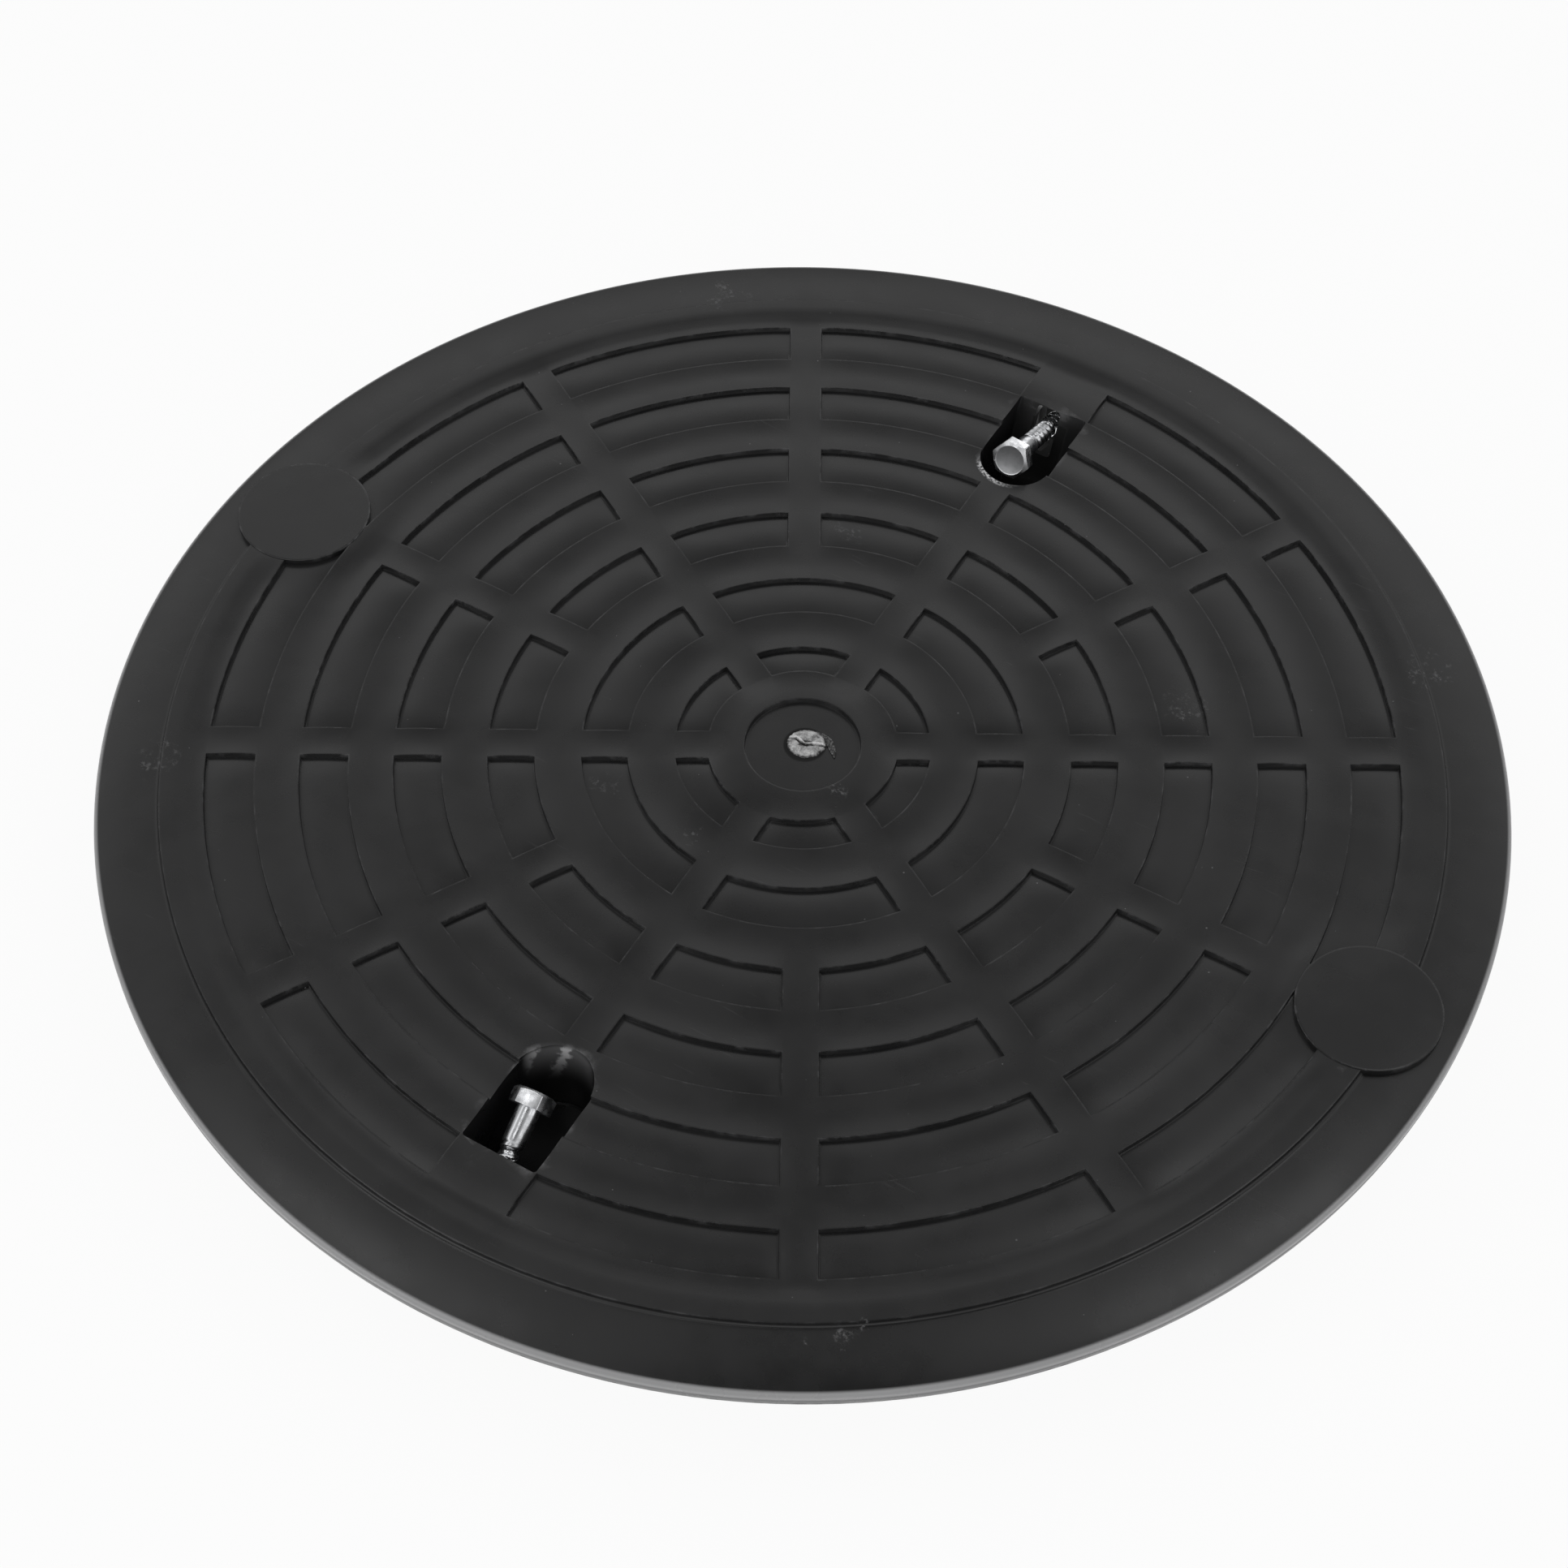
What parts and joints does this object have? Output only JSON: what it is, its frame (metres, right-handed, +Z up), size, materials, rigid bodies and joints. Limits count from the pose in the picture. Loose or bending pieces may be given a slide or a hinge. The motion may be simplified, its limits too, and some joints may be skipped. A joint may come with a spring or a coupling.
{
  "type": "manhole cover",
  "caption": "Round black plastic manhole cover with a raised ring-and-spoke tread, a ribbed underside and ramped pockets for sloping lock screws.",
  "frame": {"origin": "centre of the collar's foot, on which the cover stands", "axes": "+Z up out of the tread; the screw pockets lie on the Y axis, the far one in the picture at +Y; the round plates lie on the X axis, the one that carries lettering on the real cover at -X"},
  "size_m": [0.4818, 0.4818, 0.0502],
  "materials": {
    "plastic": "moulded black plastic with a low satin sheen",
    "steel": "bright zinc plating"
  },
  "bodies": {
    "cover": {"cover": "plastic"},
    "far_screw": {"lock_screw_far": "steel"},
    "near_screw": {"lock_screw_near": "steel"}
  },
  "joints": [
    {"name": "far_screw_drive", "type": "slide", "parent": "cover", "child": "far_screw", "axis": [-0.0384, 0.9198, -0.3904], "range_m": [-0.003, 0.029]},
    {"name": "near_screw_drive", "type": "slide", "parent": "cover", "child": "near_screw", "axis": [0.0802, -0.9175, -0.3895], "range_m": [-0.014, 0.016]}
  ]
}
